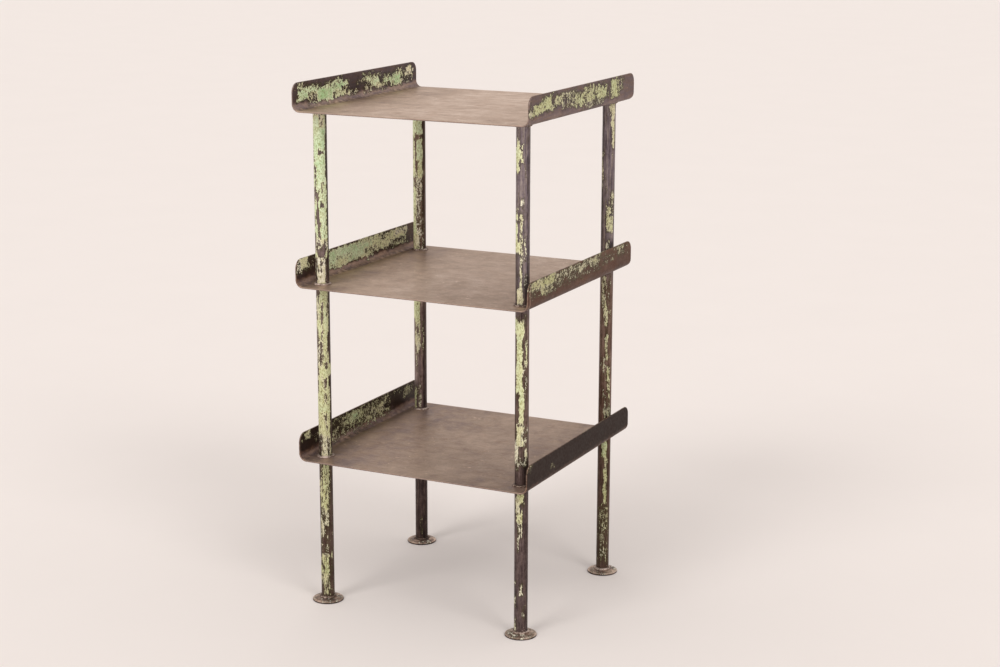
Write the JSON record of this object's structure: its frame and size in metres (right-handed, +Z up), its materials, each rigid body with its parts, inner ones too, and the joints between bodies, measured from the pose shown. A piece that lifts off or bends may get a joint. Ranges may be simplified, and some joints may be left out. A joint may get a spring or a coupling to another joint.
{
  "type": "display shelving unit",
  "caption": "Free-standing open display unit: flat steel shelves with turned-up ends on round tube posts with disc feet.",
  "frame": {"origin": "on the floor, under the middle of the unit", "axes": "+Z up, +X to the right seen from the front, towards one turned-up end of the shelves, +Y to the back"},
  "size_m": [0.508, 0.5, 1.064],
  "materials": {
    "shelf_steel": "bare brushed steel, warm grey-brown, with worn green paint on the turned-up ends",
    "post_paint": "chipped pale green paint over dark gunmetal steel",
    "foot_steel": "worn dark steel",
    "weld_steel": "rippled bare weld metal"
  },
  "bodies": {
    "root": {"top_shelf": "shelf_steel", "middle_shelf": "shelf_steel", "bottom_shelf": "shelf_steel", "post_front_left": "post_paint", "post_front_right": "post_paint", "post_back_left": "post_paint", "post_back_right": "post_paint", "foot_front_left": "foot_steel", "foot_front_right": "foot_steel", "foot_back_left": "foot_steel", "foot_back_right": "foot_steel", "foot_weld_front_left": "weld_steel", "foot_weld_front_right": "weld_steel", "foot_weld_back_left": "weld_steel", "foot_weld_back_right": "weld_steel", "bottom_shelf_weld_front_left": "weld_steel", "bottom_shelf_weld_front_right": "weld_steel", "bottom_shelf_weld_back_left": "weld_steel", "bottom_shelf_weld_back_right": "weld_steel", "middle_shelf_weld_front_left": "weld_steel", "middle_shelf_weld_front_right": "weld_steel", "middle_shelf_weld_back_left": "weld_steel", "middle_shelf_weld_back_right": "weld_steel", "top_shelf_weld_front_left": "weld_steel", "top_shelf_weld_front_right": "weld_steel", "top_shelf_weld_back_left": "weld_steel", "top_shelf_weld_back_right": "weld_steel"}
  },
  "joints": []
}
